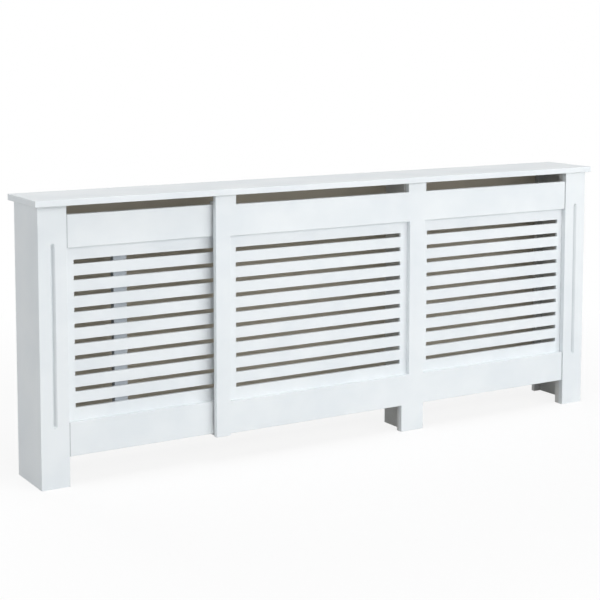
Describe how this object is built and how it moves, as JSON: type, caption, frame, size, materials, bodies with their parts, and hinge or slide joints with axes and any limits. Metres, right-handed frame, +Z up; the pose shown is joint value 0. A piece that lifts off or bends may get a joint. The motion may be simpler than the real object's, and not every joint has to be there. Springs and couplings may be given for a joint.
{
  "type": "radiator cover cabinet",
  "caption": "Long open-backed radiator cover with slotted grille bays, vent gaps and a side section that slides to fit the radiator.",
  "frame": {"origin": "on the floor, at the centre of the cover's plan at full extension", "axes": "+X along the cover towards its fixed right end as seen from the room, +Y from the room to the wall, +Z up"},
  "size_m": [1.994, 0.215, 0.815],
  "materials": {
    "painted_board": "satin white paint on board",
    "white_plastic": "matte",
    "beech": "bare",
    "zinc_steel": "zinc plated"
  },
  "bodies": {
    "fixed_section": {"top_board": "painted_board", "main_front_frame": "painted_board", "center_grille": "painted_board", "right_grille": "painted_board", "right_post": "painted_board", "leg_backing": "painted_board", "support_board": "painted_board", "right_end_panel": "painted_board", "right_corner_batten": "painted_board", "right_rear_batten": "painted_board", "lower_guide": "white_plastic", "upper_guide": "white_plastic", "right_dowels": "beech", "top_brackets": "zinc_steel", "wall_brackets": "zinc_steel"},
    "sliding_section": {"left_front_frame": "painted_board", "left_grille": "painted_board", "left_post": "painted_board", "left_end_panel": "painted_board", "left_corner_batten": "painted_board", "left_rear_batten": "painted_board", "left_stiffener": "painted_board", "left_dowels": "beech"}
  },
  "joints": [
    {"name": "extension_slide", "type": "slide", "parent": "fixed_section", "child": "sliding_section", "axis": [1, 0, 0], "range_m": [0, 0.45]}
  ]
}
